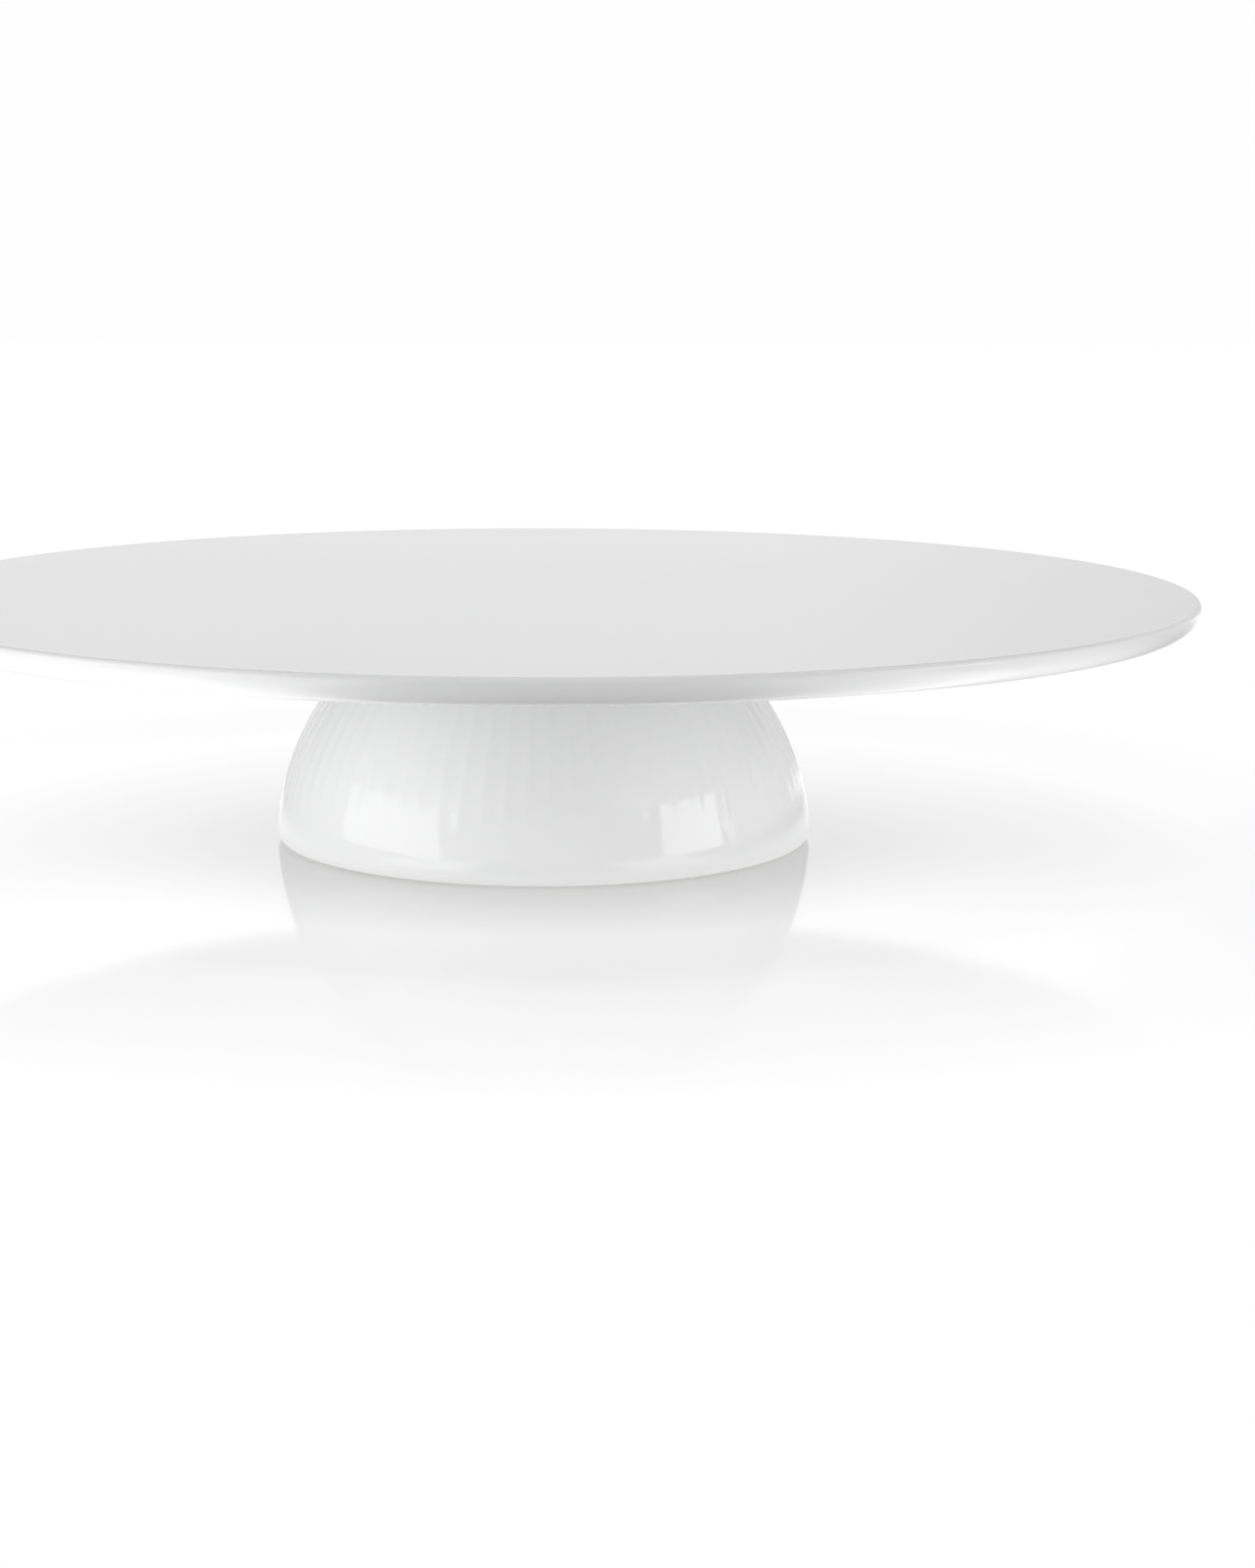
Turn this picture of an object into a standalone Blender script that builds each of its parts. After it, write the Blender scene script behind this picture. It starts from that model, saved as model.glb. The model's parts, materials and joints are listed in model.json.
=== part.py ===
"""Porcelain cake stand: a thin round plate clamped on a low foot shaped like an upturned bowl.

Metres, +Z up. The origin is the centre of the base, on the table, and every piece is turned about +Z.
The plate has a stub on its underside that drops into a hole in the crown of the foot. A thumb knob
under the crown draws the plate down through two washers, a stud and a threaded insert in the stub.
"""

import math

import bmesh
import bpy

# Overall size
PLATE_RADIUS = 0.160
TOP_HEIGHT = 0.0625
FOOT_RADIUS = 0.0664  # where the foot is widest
GAP = 0.0003  # clearance between pieces that touch

# Plate
PLATE_TOP_ROUND = 0.0012  # radius of the rounded arris
RIM_BAND = 0.0006  # straight height of the rim below the arris
RIM_UNDERCUT = 0.0055  # how far the rim curves in below the band
RIM_THICKNESS = 0.0063
SEAT_HEIGHT = 0.0553  # ground ring that rests on the gasket
SEAT_RADIUS = 0.0330
SEAT_PROUD = 0.0005  # the ring stands this far below the plate's underside
STUB_RADIUS = 0.0156
STUB_LENGTH = 0.0059
STUB_CHAMFER = 0.0006
SOCKET_RADIUS = 0.0072  # blind hole in the stub, for the threaded insert
SOCKET_DEPTH = 0.0085

# Foot
LIP_HEIGHT = 0.0005  # the lip clears the table by this, on the base ring
LIP_ROUND = 0.0020
FOOT_POWER = 1.873  # exponent of the bowl's outline: 2 would be an ellipse
FOOT_SPRING = 0.001  # height where the bowl's outline springs from
FOOT_RISE = 0.0639  # height of the whole outline above its spring line
CROWN_TOP = 0.0537
SHOULDER_WIDTH = 0.0031  # of the rounded edge where the crown meets the bowl
SHOULDER_DROP = 0.0013
CROWN_THICKNESS = 0.0052
CROWN_HOLE_RADIUS = 0.0170
CROWN_HOLE_CHAMFER = 0.0006
HOLLOW_RADIUS = 0.0614
HOLLOW_RISE = 0.0590
BEAD_RADIUS = 0.0570  # inner radius of the thick ring behind the lip
BEAD_HEIGHT = 0.0060
BEAD_BLEND = 0.0120  # height where the bead has run out into the wall

# Base ring, in a groove in the lip
GROOVE_INNER = 0.0599
GROOVE_OUTER = 0.0627
GROOVE_DEPTH = 0.0018
RING_EDGE = 0.0003

# Gasket: a flange between foot and plate, with a sleeve round the stub
GASKET_RADIUS = 0.0322
GASKET_THICKNESS = SEAT_HEIGHT - CROWN_TOP - 2 * GAP
SLEEVE_WALL = CROWN_HOLE_RADIUS - STUB_RADIUS - 2 * GAP
SLEEVE_LENGTH = 0.0049

# Clamp, from the crown downwards
SOFT_WASHER_RADIUS = 0.0270
SOFT_WASHER_THICKNESS = 0.0015
STEEL_WASHER_RADIUS = 0.0240
STEEL_WASHER_THICKNESS = 0.0016
WASHER_BEVEL = 0.0003
STUD_RADIUS = 0.0040
STUD_HOLE_RADIUS = STUD_RADIUS + GAP
STUD_CHAMFER = 0.0007
STUD_TIP_HEIGHT = 0.0569
INSERT_FLANK = 0.0006  # lead-in chamfer at both ends of the insert
KNOB_RADIUS = 0.0150
KNOB_HEIGHT = 0.0150
KNOB_HUB_RADIUS = 0.0090
KNOB_HUB_HEIGHT = 0.0025
KNOB_CHAMFER = 0.0015
KNOB_DISH = 0.0010  # the knob's end face is hollowed by this
KNOB_BORE_DEPTH = 0.0115
SCALLOP_COUNT = 8
SCALLOP_RADIUS = 0.0045
SCALLOP_CIRCLE = 0.0175  # the cutters' centres lie on this radius

# Facets along the outlines
OUTLINE_STEPS = 8
ROUND_STEPS = 3
UNDERCUT_STEPS = 4
SHOULDER_STEPS = 2

# Facets round each piece
PLATE_FACETS = 80
FOOT_FACETS = 64
CLAMP_FACETS = 36
STUD_FACETS = 24
SCALLOP_FACETS = 16
SHARP_ANGLE = math.radians(35)
MERGE_DISTANCE = 0.00001
EMPTY_SIZE = 0.04


def clear_scene():
    for item in list(bpy.data.objects):
        bpy.data.objects.remove(item)


def new_collection(name):
    collection = bpy.data.collections.new(name)
    bpy.context.scene.collection.children.link(collection)
    return collection


def new_material(name, colour, roughness, metallic=0.0):
    material = bpy.data.materials.new(name)
    material.use_nodes = True
    shader = material.node_tree.nodes["Principled BSDF"]
    shader.inputs["Base Color"].default_value = (*colour, 1.0)
    shader.inputs["Roughness"].default_value = roughness
    shader.inputs["Metallic"].default_value = metallic
    material.diffuse_color = (*colour, 1.0)
    return material


def arc(centre_x, centre_z, radius_x, radius_z, start, end, steps):
    """Points of an elliptical arc from start to end, in degrees, both ends included."""
    angles = [math.radians(start + (end - start) * i / steps) for i in range(steps + 1)]
    return [(centre_x + radius_x * math.cos(a), centre_z + radius_z * math.sin(a)) for a in angles]


def bowl_radius(height, radius, rise):
    """Radius of a bowl's outline at a height above the table."""
    share = (height - FOOT_SPRING) / rise
    return radius * math.sqrt(1 - share**FOOT_POWER)


def group_empty(name, height, collection):
    """An empty on the stand's axis that carries the pieces of one moving body."""
    empty = bpy.data.objects.new(name, None)
    empty.location = (0, 0, height)
    empty.empty_display_size = EMPTY_SIZE
    collection.objects.link(empty)
    return empty


def turned(name, outline, closed, facets, material, collection, parent, height):
    """A solid turned about Z. The outline's heights are counted from the piece's own base height.

    An open outline starts and ends on the axis; a closed one is the section of a ring.
    """
    count = len(outline)
    links = [(i, i + 1) for i in range(count - 1)]
    if closed:
        links.append((count - 1, 0))
    mesh = bpy.data.meshes.new(name)
    mesh.from_pydata([(x, 0, z) for x, z in outline], links, [])
    piece = bpy.data.objects.new(name, mesh)
    collection.objects.link(piece)

    screw = piece.modifiers.new("Turn", "SCREW")
    screw.axis = "Z"
    screw.angle = 2 * math.pi
    screw.steps = facets
    screw.render_steps = facets
    screw.use_merge_vertices = True
    screw.merge_threshold = MERGE_DISTANCE
    evaluated = piece.evaluated_get(bpy.context.evaluated_depsgraph_get())
    solid = bpy.data.meshes.new_from_object(evaluated)
    piece.modifiers.clear()
    piece.data = solid
    bpy.data.meshes.remove(mesh)
    solid.name = name
    solid.shade_smooth()
    solid.set_sharp_from_angle(angle=SHARP_ANGLE)
    solid.materials.clear()
    solid.materials.append(material)

    piece.parent = parent
    piece.location = (0, 0, height - parent.location.z)
    return piece


def washer_outline(hole, radius, thickness, bevel):
    """Closed section of a flat ring whose lower face is at height 0, with bevelled outer edges."""
    return [
        (hole, thickness),
        (radius - bevel, thickness),
        (radius, thickness - bevel),
        (radius, bevel),
        (radius - bevel, 0),
        (hole, 0),
    ]


def make_plate(material, collection, parent):
    top = TOP_HEIGHT - SEAT_HEIGHT
    band_top = top - PLATE_TOP_ROUND
    band_foot = band_top - RIM_BAND
    rim_under = top - RIM_THICKNESS
    outline = [(0, top)]
    round_centre = PLATE_RADIUS - PLATE_TOP_ROUND
    outline += arc(
        round_centre, band_top, PLATE_TOP_ROUND, PLATE_TOP_ROUND, 90, 0, ROUND_STEPS
    )
    undercut_drop = band_foot - rim_under
    outline += arc(
        PLATE_RADIUS - RIM_UNDERCUT, band_foot, RIM_UNDERCUT, undercut_drop, 0, -90, UNDERCUT_STEPS
    )
    outline += [
        (SEAT_RADIUS + SEAT_PROUD, SEAT_PROUD),
        (SEAT_RADIUS, 0),
        (STUB_RADIUS, 0),
        (STUB_RADIUS, STUB_CHAMFER - STUB_LENGTH),
        (STUB_RADIUS - STUB_CHAMFER, -STUB_LENGTH),
        (SOCKET_RADIUS, -STUB_LENGTH),
        (SOCKET_RADIUS, SOCKET_DEPTH - STUB_LENGTH),
        (0, SOCKET_DEPTH - STUB_LENGTH),
    ]
    return turned("plate", outline, False, PLATE_FACETS, material, collection, parent, SEAT_HEIGHT)


def make_insert(material, collection, parent):
    """Threaded sleeve cemented into the stub's socket, flush with the stub's end."""
    length = SOCKET_DEPTH - GAP
    radius = SOCKET_RADIUS - GAP
    outline = [
        (STUD_HOLE_RADIUS, length),
        (radius - INSERT_FLANK, length),
        (radius, length - INSERT_FLANK),
        (radius, 0),
        (STUD_HOLE_RADIUS + INSERT_FLANK, 0),
        (STUD_HOLE_RADIUS, INSERT_FLANK),
    ]
    height = SEAT_HEIGHT - STUB_LENGTH
    return turned("threaded_insert", outline, True, CLAMP_FACETS, material, collection, parent, height)


def make_gasket(material, collection, parent):
    sleeve_inner = STUB_RADIUS + GAP
    sleeve_outer = sleeve_inner + SLEEVE_WALL
    outline = [
        (sleeve_inner, GASKET_THICKNESS),
        (GASKET_RADIUS, GASKET_THICKNESS),
        (GASKET_RADIUS, 0),
        (sleeve_outer, 0),
        (sleeve_outer, -SLEEVE_LENGTH),
        (sleeve_inner, -SLEEVE_LENGTH),
    ]
    height = CROWN_TOP + GAP
    return turned("seat_gasket", outline, True, CLAMP_FACETS, material, collection, parent, height)


def foot_outside():
    """The foot's outer side from the crown's shoulder down to the lip."""
    top = CROWN_TOP - SHOULDER_DROP
    bottom = LIP_HEIGHT + LIP_ROUND
    crown_radius = bowl_radius(top, FOOT_RADIUS, FOOT_RISE) - SHOULDER_WIDTH
    points = []
    for i in range(SHOULDER_STEPS):
        # a parabola, flat at the crown and as steep as the bowl where it ends
        share = i / SHOULDER_STEPS
        points.append((crown_radius + SHOULDER_WIDTH * share, CROWN_TOP - SHOULDER_DROP * share**2))
    for i in range(OUTLINE_STEPS):
        # equal steps of the outline's own angle keep the facets even round the shoulder
        share = math.cos(0.5 * math.pi * i / OUTLINE_STEPS)
        height = bottom + (top - bottom) * share
        points.append((bowl_radius(height, FOOT_RADIUS, FOOT_RISE), height))
    lip_centre = FOOT_RADIUS - LIP_ROUND
    return points + arc(lip_centre, bottom, LIP_ROUND, LIP_ROUND, 0, -90, ROUND_STEPS)


def foot_inside():
    """The hollow's side from the lip's inner edge up to the flat under the crown."""
    top = CROWN_TOP - CROWN_THICKNESS
    lip_centre = BEAD_RADIUS + LIP_ROUND
    lip_top = LIP_HEIGHT + LIP_ROUND
    points = arc(lip_centre, lip_top, LIP_ROUND, LIP_ROUND, -90, -180, ROUND_STEPS)
    points.append((BEAD_RADIUS, BEAD_HEIGHT))
    for i in range(OUTLINE_STEPS + 1):
        share = math.sin(0.5 * math.pi * i / OUTLINE_STEPS)
        height = BEAD_BLEND + (top - BEAD_BLEND) * share
        points.append((bowl_radius(height, HOLLOW_RADIUS, HOLLOW_RISE), height))
    return points


def make_foot(material, collection, parent):
    crown_under = CROWN_TOP - CROWN_THICKNESS
    groove_top = LIP_HEIGHT + GROOVE_DEPTH
    outline = [
        (CROWN_HOLE_RADIUS, CROWN_TOP - CROWN_HOLE_CHAMFER),
        (CROWN_HOLE_RADIUS + CROWN_HOLE_CHAMFER, CROWN_TOP),
    ]
    outline += foot_outside()
    outline += [
        (GROOVE_OUTER, LIP_HEIGHT),
        (GROOVE_OUTER, groove_top),
        (GROOVE_INNER, groove_top),
        (GROOVE_INNER, LIP_HEIGHT),
    ]
    outline += foot_inside()
    outline += [
        (CROWN_HOLE_RADIUS + CROWN_HOLE_CHAMFER, crown_under),
        (CROWN_HOLE_RADIUS, crown_under + CROWN_HOLE_CHAMFER),
    ]
    return turned("foot", outline, True, FOOT_FACETS, material, collection, parent, 0)


def make_base_ring(material, collection, parent):
    inner = GROOVE_INNER + GAP
    outer = GROOVE_OUTER - GAP
    top = LIP_HEIGHT + GROOVE_DEPTH - GAP
    outline = [
        (inner, top),
        (outer, top),
        (outer, RING_EDGE),
        (outer - RING_EDGE, 0),
        (inner + RING_EDGE, 0),
        (inner, RING_EDGE),
    ]
    return turned("base_ring", outline, True, FOOT_FACETS, material, collection, parent, 0)


def make_washer(name, radius, thickness, top, material, collection, parent):
    outline = washer_outline(STUD_HOLE_RADIUS + GAP, radius, thickness, WASHER_BEVEL)
    return turned(name, outline, True, CLAMP_FACETS, material, collection, parent, top - thickness)


def make_knob(top, material, collection, cutters, parent):
    """Scalloped knob below the washers, with a blind bore for the stud in its upper face."""
    grip_top = KNOB_HEIGHT - KNOB_HUB_HEIGHT
    bore_floor = KNOB_HEIGHT - KNOB_BORE_DEPTH
    outline = [
        (0, bore_floor),
        (STUD_HOLE_RADIUS, bore_floor),
        (STUD_HOLE_RADIUS, KNOB_HEIGHT),
        (KNOB_HUB_RADIUS, KNOB_HEIGHT),
        (KNOB_HUB_RADIUS, grip_top),
        (KNOB_RADIUS - KNOB_CHAMFER, grip_top),
        (KNOB_RADIUS, grip_top - KNOB_CHAMFER),
        (KNOB_RADIUS, KNOB_CHAMFER),
        (KNOB_RADIUS - KNOB_CHAMFER, 0),
        (KNOB_HUB_RADIUS, 0),
        (0, KNOB_DISH),
    ]
    base = top - KNOB_HEIGHT
    knob = turned("thumb_knob", outline, False, CLAMP_FACETS, material, collection, parent, base)
    cutter = make_scallop_cutter(cutters)
    cutter.location = (0, 0, base + KNOB_HEIGHT / 2)
    scallops = knob.modifiers.new("Scallops", "BOOLEAN")
    scallops.operation = "DIFFERENCE"
    scallops.solver = "EXACT"
    scallops.object = cutter
    return knob


def make_scallop_cutter(cutters):
    """Upright cylinders in a circle round the knob's grip."""
    shape = bmesh.new()
    for i in range(SCALLOP_COUNT):
        angle = 2 * math.pi * i / SCALLOP_COUNT
        made = bmesh.ops.create_cone(
            shape,
            cap_ends=True,
            segments=SCALLOP_FACETS,
            radius1=SCALLOP_RADIUS,
            radius2=SCALLOP_RADIUS,
            depth=2 * KNOB_HEIGHT,
        )
        place = (SCALLOP_CIRCLE * math.cos(angle), SCALLOP_CIRCLE * math.sin(angle), 0)
        bmesh.ops.translate(shape, verts=made["verts"], vec=place)
    mesh = bpy.data.meshes.new("scallop_cutter")
    shape.to_mesh(mesh)
    shape.free()
    cutter = bpy.data.objects.new("scallop_cutter", mesh)
    cutter.hide_render = True
    cutter.display_type = "WIRE"
    cutters.objects.link(cutter)
    return cutter


def make_stud(top, material, collection, parent):
    """Plain rod of the thread's outer diameter, from the knob's bore up into the insert."""
    foot = top - KNOB_BORE_DEPTH + GAP
    length = STUD_TIP_HEIGHT - foot
    outline = [
        (0, length),
        (STUD_RADIUS - STUD_CHAMFER, length),
        (STUD_RADIUS, length - STUD_CHAMFER),
        (STUD_RADIUS, 0),
        (0, 0),
    ]
    return turned("clamp_stud", outline, False, STUD_FACETS, material, collection, parent, foot)


def build():
    clear_scene()
    stand = new_collection("cake_stand")
    cutters = new_collection("cutters")
    porcelain = new_material("porcelain_glaze", (0.86, 0.87, 0.87), 0.10)
    foot_porcelain = new_material("foot_porcelain_glaze", (0.86, 0.87, 0.87), 0.10)
    brass = new_material("insert_brass", (0.72, 0.53, 0.25), 0.35, 1.0)
    gasket = new_material("gasket_silicone", (0.78, 0.79, 0.78), 0.45)
    ring = new_material("ring_silicone", (0.70, 0.71, 0.71), 0.50)
    soft = new_material("washer_silicone", (0.74, 0.75, 0.74), 0.50)
    washer_steel = new_material("washer_steel", (0.62, 0.62, 0.61), 0.28, 1.0)
    knob_steel = new_material("knob_steel", (0.60, 0.60, 0.59), 0.30, 1.0)
    stud_steel = new_material("stud_steel", (0.55, 0.55, 0.54), 0.32, 1.0)

    soft_top = CROWN_TOP - CROWN_THICKNESS - GAP
    steel_top = soft_top - SOFT_WASHER_THICKNESS - GAP
    knob_top = steel_top - STEEL_WASHER_THICKNESS - GAP

    foot_group = group_empty("foot_group", 0, stand)
    plate_group = group_empty("plate_group", SEAT_HEIGHT, stand)
    washer_group = group_empty("washer_group", steel_top, stand)
    knob_group = group_empty("knob_group", knob_top, stand)

    make_foot(foot_porcelain, stand, foot_group)
    make_base_ring(ring, stand, foot_group)
    make_plate(porcelain, stand, plate_group)
    make_insert(brass, stand, plate_group)
    make_gasket(gasket, stand, plate_group)
    make_washer(
        "crown_washer", SOFT_WASHER_RADIUS, SOFT_WASHER_THICKNESS, soft_top, soft, stand, washer_group
    )
    make_washer(
        "load_washer",
        STEEL_WASHER_RADIUS,
        STEEL_WASHER_THICKNESS,
        steel_top,
        washer_steel,
        stand,
        washer_group,
    )
    make_knob(knob_top, knob_steel, stand, cutters, knob_group)
    make_stud(knob_top, stud_steel, stand, knob_group)


build()
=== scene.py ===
"""Looks of the porcelain cake stand: fine surfaces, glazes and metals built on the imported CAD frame.

Metres, +Z up, the stand's axis on Z and its front towards -Y. Every piece replaces the CAD node it
stands for and rides on that node's body.
"""

import json
import math
import random

import bmesh
import bpy
from mathutils import Matrix, Vector


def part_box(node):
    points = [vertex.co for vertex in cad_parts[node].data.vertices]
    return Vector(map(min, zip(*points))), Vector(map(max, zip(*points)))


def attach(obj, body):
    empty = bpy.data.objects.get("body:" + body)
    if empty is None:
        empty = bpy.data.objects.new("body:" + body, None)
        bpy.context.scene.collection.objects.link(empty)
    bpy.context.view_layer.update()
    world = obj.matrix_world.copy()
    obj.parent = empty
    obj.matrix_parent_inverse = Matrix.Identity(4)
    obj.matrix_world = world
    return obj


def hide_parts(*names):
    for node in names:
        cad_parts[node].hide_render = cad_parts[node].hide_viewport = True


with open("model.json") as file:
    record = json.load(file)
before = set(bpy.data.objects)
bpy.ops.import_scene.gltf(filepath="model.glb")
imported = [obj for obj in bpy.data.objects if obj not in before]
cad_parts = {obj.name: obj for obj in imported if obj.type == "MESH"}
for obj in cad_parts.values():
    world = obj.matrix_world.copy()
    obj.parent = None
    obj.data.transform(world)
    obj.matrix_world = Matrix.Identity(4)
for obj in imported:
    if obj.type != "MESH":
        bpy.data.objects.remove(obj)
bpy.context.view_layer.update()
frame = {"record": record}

MM = 0.001
TURN = 2 * math.pi

# Where the CAD pieces are
PLATE_LOW, PLATE_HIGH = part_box("plate")
FOOT_LOW, FOOT_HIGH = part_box("foot")
RING_LOW, RING_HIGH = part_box("base_ring")
GASKET_LOW, GASKET_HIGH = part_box("seat_gasket")
INSERT_LOW, INSERT_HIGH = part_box("threaded_insert")
SOFT_LOW, SOFT_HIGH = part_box("crown_washer")
STEEL_LOW, STEEL_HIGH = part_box("load_washer")
KNOB_LOW, KNOB_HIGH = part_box("thumb_knob")
STUD_LOW, STUD_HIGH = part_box("clamp_stud")

GAP = 0.3 * MM  # clearance that the CAD keeps between pieces that touch
CORNER_STEPS = 5
CORNER_LIMIT = 0.49  # share of an edge that one rounding may take up
ON_AXIS = 1e-7  # a point nearer the axis than this is one vertex, not a ring
TOLERANCE = 0.05 * MM  # a face this near a height or a radius counts as on it

# Plate
PLATE_SEGMENTS = 288
TOP_RINGS = (0.2, 0.5, 0.8, 0.95)  # rings of vertices on the flat top, as shares of its radius
TOP_ROUND = 1.2 * MM
ARRIS_STEPS = 10
RIM_BAND = 0.6 * MM
ARRIS_HOLD = 0.2 * MM  # from the last ring of the flat top to the arris, so the shading stays flat up to it
RIM_UNDERCUT = 5.5 * MM
UNDERCUT_STEPS = 18
RIM_THICKNESS = 6.3 * MM
UNDER_RINGS = (0.2, 0.4, 0.6, 0.8)  # rings on the underside, as shares of the way from rim to seat
SEAT_MARGIN = 0.8 * MM  # the seat ring is this much wider than the gasket
SEAT_PROUD = 0.5 * MM
SEAT_EDGE_ROUND = 0.3 * MM
SEAT_BORDER = 0.8 * MM  # bare porcelain starts this far inside the seat ring's edges
STUB_LENGTH = 5.9 * MM
STUB_RADIUS = 15.6 * MM
STUB_ROUND = 0.6 * MM
SOCKET_RADIUS = 7.2 * MM
SOCKET_DEPTH = 8.5 * MM
UNDER_BLEND = 1.5 * MM  # fillet between the plate's underside and the seat ring
BLEND_DROP = 0.02 * MM  # the underside falls this much along the fillet
FACING_DOWN = -0.9  # a normal's Z, below which a face looks down

# Foot
FLUTES = 76
FLUTE_SAMPLES = 10
FLUTE_DEPTH = 0.21 * MM
FLUTE_START = 9.5 * MM  # height where the flutes have run out
FLUTE_RUNOUT = 8.5 * MM
FLUTE_SOFTNESS = 0.25  # rounding of the ridges between two flutes
FLUTE_TURN = math.radians(1.2)  # a ridge stands this far to the right of the front
FLUTE_UNEVEN = 0.07  # a flute's depth varies by this share either way
FLUTE_SEED = 7
FLUTE_WALL = 1.5 * MM  # the flutes keep at least this far from the hollow's surface
CROWN_FADE = 2.0 * MM  # the flutes reach full depth this far outside the bowl's upper edge
FOOT_POWER = 1.873  # of the superellipse that is the foot's outline
FOOT_SPRING = 1.0 * MM  # height of the superellipse's centre
FOOT_RISE = 63.9 * MM
SIDE_STEPS = 52
SHOULDER_WIDTH = 3.1 * MM
SHOULDER_DROP = 1.3 * MM
SHOULDER_STEPS = 6
LIP_ROUND = 2.0 * MM
LIP_SWEEP = -80  # degrees
LIP_STEPS = 6
CROWN_THICKNESS = 5.2 * MM
CROWN_HOLE_RADIUS = 17.0 * MM
CROWN_HOLE_ROUND = 0.6 * MM
CROWN_HOLE_FLAT = 4.0 * MM  # flat round the hole, under the crown
HOLLOW_RADIUS = 61.4 * MM
HOLLOW_RISE = 59.0 * MM
HOLLOW_STEPS = 20
BEAD_RADIUS = 57.0 * MM
BEAD_HEIGHT = 6.0 * MM
BEAD_BLEND = 12.0 * MM  # height where the bead has run out into the hollow's wall
BEAD_RINGS = (0.25, 0.5, 0.75)
GROOVE_INNER = 59.9 * MM
GROOVE_OUTER = 62.7 * MM
GROOVE_DEPTH = 1.8 * MM
GROOVE_ROUND = 0.2 * MM
BARE_LIP = 0.1 * MM  # the glaze is wiped off the lip up to this height
BARE_GROOVE = 3.0 * MM  # and off every face between the groove's sides up to this one
EDGE_STUB = 1.0 * MM  # short run of flat that leads into a rounded corner

# Base ring
RING_WIDTH = 2.2 * MM
RING_ROUND = 0.2 * MM
RING_RIBS = 3
RIB_HEIGHT = 0.3 * MM
RIB_ROUND = 0.12 * MM
RIB_FLAT = 0.5  # share of the pitch that is rib
RIB_VALLEY = (0.65, 0.85)  # shares of the pitch between which the groove is deepest
VALLEY_ROUND = 0.1 * MM

# Clamp
RING_SEGMENTS = 192
SLEEVE_INNER = STUB_RADIUS + GAP
SLEEVE_OUTER = CROWN_HOLE_RADIUS - GAP
FLANGE_THICKNESS = 1.0 * MM
SOFT_EDGE = 0.35 * MM
STUD_HOLE = 4.6 * MM  # radius of the hole in each washer
WASHER_GROOVES = (2.0 * MM, 10.0 * MM)  # distances of the grooves from the soft washer's edge
WASHER_GROOVE_HALF = 0.5 * MM
WASHER_GROOVE_DEPTH = 0.35 * MM
STAMPED_INNER = 0.4 * MM  # roundings of the steel washer: its upper edges, then the lower ones
STAMPED_OUTER = 0.5 * MM
STAMPED_LOWER = 0.2 * MM
THREAD_PITCH = 1.25 * MM
THREAD_DEPTH = 0.61 * MM
THREAD_ROWS = 12  # rows of faces in one pitch
THREAD_ROOT = 0.18  # share of half a pitch that is flat root
THREAD_FLANK = 0.70  # and the share that is flank
THREAD_SEGMENTS = 48
THREAD_CLEARANCE = 0.12 * MM  # how far the insert's bore stands back from the stud's crests
STUD_CHAMFER = 0.7 * MM
INSERT_SEGMENTS = 192
INSERT_MOUTH = 0.8 * MM  # lead-in at each end of the insert's thread
INSERT_WAIST = 0.7 * MM  # depth of the plain groove between the two knurled bands
WAIST_HALF = 0.5 * MM
KNURL_RIDGES = 48
KNURL_DEPTH = 0.18 * MM
HUB_RADIUS = 9.0 * MM
HUB_HEIGHT = 2.5 * MM
GRIP_ROUND = 1.5 * MM
BEVEL_MARGIN = 1.0 * MM  # the scallops start this far outside the hub
BORE_RADIUS = 4.3 * MM
BORE_DEPTH = 11.5 * MM
KNOB_DISH = 1.0 * MM
SCALLOPS = 8
SCALLOP_RADIUS = 4.5 * MM
SCALLOP_CIRCLE = 17.5 * MM
SCALLOP_SHARPNESS = 3500.0  # per metre: how tightly the scallops' edges are rounded
KNOB_SEGMENTS = 256
SAME_PLACE = 0.01 * MM  # two heights or radii closer than this are the same

# Angles in degrees between faces, above which the edge between them is shaded sharp
PLAIN_SHARP = 40
FOOT_SHARP = 60
STUD_SHARP = 75
INSERT_SHARP = 50
KNOB_SHARP = 35

# Colours, from the duller or darker patches to the paler ones
GLAZE_COLOURS = ((0.846, 0.850, 0.851), (0.858, 0.860, 0.859))
BISQUE_COLOURS = ((0.78, 0.765, 0.735), (0.86, 0.85, 0.83))
WASHER_STEEL = ((0.56, 0.56, 0.55), (0.66, 0.66, 0.65))
STUD_STEEL = ((0.50, 0.50, 0.49), (0.60, 0.60, 0.59))
INSERT_BRASS = ((0.62, 0.43, 0.19), (0.76, 0.57, 0.28))
KNOB_STEEL = ((0.55, 0.55, 0.54), (0.65, 0.65, 0.64))
RING_SILICONE = (0.70, 0.71, 0.71)
GASKET_SILICONE = (0.78, 0.79, 0.78)
WASHER_SILICONE = (0.74, 0.75, 0.74)
MOTTLE_SHADE = 0.93  # a silicone's darker patches, as a share of its colour

PORCELAIN_IOR = 1.5
SILICONE_IOR = 1.41
NOISE_MIDDLE = (0.3, 0.7)  # most values of a noise texture lie between these
POOLING = (0.35, 0.65)  # noise values between which the glaze goes from one colour to the other
STAIN = (0.35, 0.7)  # and the bare porcelain

# Camera
CAMERA_DISTANCE = 738.1 * MM
CAMERA_HEIGHT = 144.6 * MM
CAMERA_YAW = math.radians(1.619)  # to the right of the stand's axis
CAMERA_PITCH = math.radians(10.112)  # downwards
CAMERA_ROLL = math.radians(0.224)
CAMERA_LENS = 68.67  # and the sensor's width, in millimetres
SENSOR_WIDTH = 36.0


# ---------------------------------------------------------------- outlines

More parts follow.
